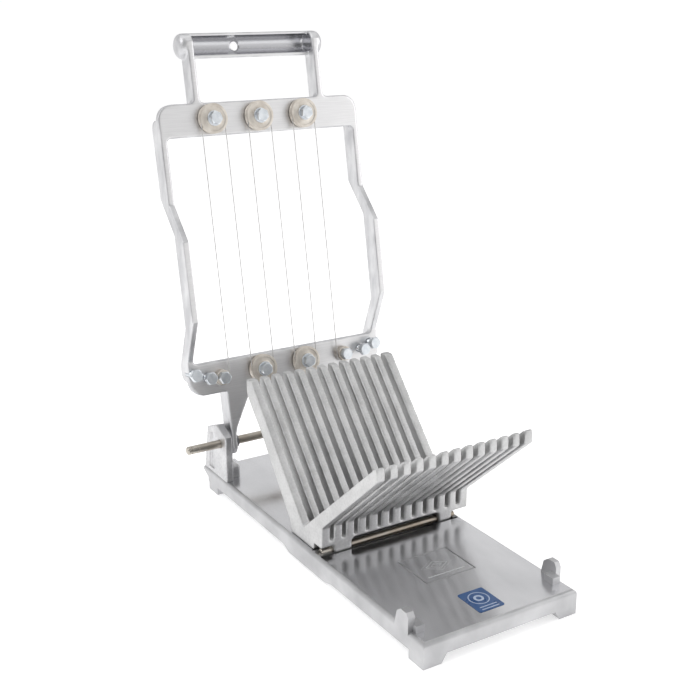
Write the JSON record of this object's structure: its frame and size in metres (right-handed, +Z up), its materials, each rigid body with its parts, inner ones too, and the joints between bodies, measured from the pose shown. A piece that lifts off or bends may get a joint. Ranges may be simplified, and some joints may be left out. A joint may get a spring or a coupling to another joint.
{
  "type": "wire slicer",
  "caption": "Countertop wire slicer: a hinged arm strung with wire swings down through a fluted V cradle on a flat cast base, and the cradle tips forward.",
  "frame": {"origin": "on the floor under the middle of the whole object's box, and on the base's middle plane", "axes": "+X to the user's right, +Y from the front lugs to the hinge, +Z up"},
  "size_m": [0.1745, 0.338, 0.3473],
  "materials": {
    "polished_casting": "satin cast sides, polished top",
    "rough_casting": "cast, tumbled",
    "arm_casting": "cast, with brushed flat faces",
    "cradle_casting": "cast, matte",
    "steel_rod": "ground, slightly tarnished",
    "spring_steel": "satin",
    "zinc_steel": "bright zinc plate",
    "bronze": "turned, dull",
    "wire_steel": "drawn",
    "blue_sticker": "printed vinyl"
  },
  "bodies": {
    "base": {"base_plate": "polished_casting", "label": "blue_sticker", "left_bracket": "rough_casting", "right_bracket": "rough_casting", "bracket_screws": "zinc_steel", "hinge_pin": "steel_rod", "pin_retaining_rings": "spring_steel"},
    "cradle": {"cradle": "cradle_casting", "cradle_rod": "steel_rod"},
    "arm": {"arm_frame": "arm_casting", "top_roller_bolts": "zinc_steel", "bottom_roller_bolts": "zinc_steel", "roller_washers": "zinc_steel", "head_washers": "zinc_steel", "left_anchor_bolt": "zinc_steel", "left_anchor_bush": "bronze", "right_anchor_bolt": "zinc_steel", "right_anchor_bush": "bronze", "left_clamp_bolts": "zinc_steel", "right_clamp_bolts": "zinc_steel", "cutting_wire": "wire_steel"},
    "top_roller_left": {"top_roller_left": "bronze"},
    "top_roller_middle": {"top_roller_middle": "bronze"},
    "top_roller_right": {"top_roller_right": "bronze"},
    "bottom_roller_left": {"bottom_roller_left": "bronze"},
    "bottom_roller_right": {"bottom_roller_right": "bronze"}
  },
  "joints": [
    {"name": "arm_hinge", "type": "hinge", "parent": "base", "child": "arm", "pos_m": [0, 0.1028, 0.0455], "axis": [1, 0, 0], "range_deg": [0, 102.6]},
    {"name": "cradle_tilt", "type": "hinge", "parent": "base", "child": "cradle", "pos_m": [0, -0.0422, 0.0175], "axis": [-1, 0, 0], "range_deg": [-41.6, 0]},
    {"name": "top_roller_left_spin", "type": "hinge", "parent": "arm", "child": "top_roller_left", "pos_m": [-0.0381, 0.1376, 0.28746], "axis": [0, 0.9842, -0.1771], "continuous": true},
    {"name": "top_roller_middle_spin", "type": "hinge", "parent": "arm", "child": "top_roller_middle", "pos_m": [0, 0.1376, 0.28746], "axis": [0, 0.9842, -0.1771], "continuous": true},
    {"name": "top_roller_right_spin", "type": "hinge", "parent": "arm", "child": "top_roller_right", "pos_m": [0.0381, 0.1376, 0.28746], "axis": [0, 0.9842, -0.1771], "continuous": true},
    {"name": "bottom_roller_left_spin", "type": "hinge", "parent": "arm", "child": "bottom_roller_left", "pos_m": [-0.01905, 0.10379, 0.09958], "axis": [0, 0.9842, -0.1771], "continuous": true},
    {"name": "bottom_roller_right_spin", "type": "hinge", "parent": "arm", "child": "bottom_roller_right", "pos_m": [0.01905, 0.10379, 0.09958], "axis": [0, 0.9842, -0.1771], "continuous": true}
  ]
}
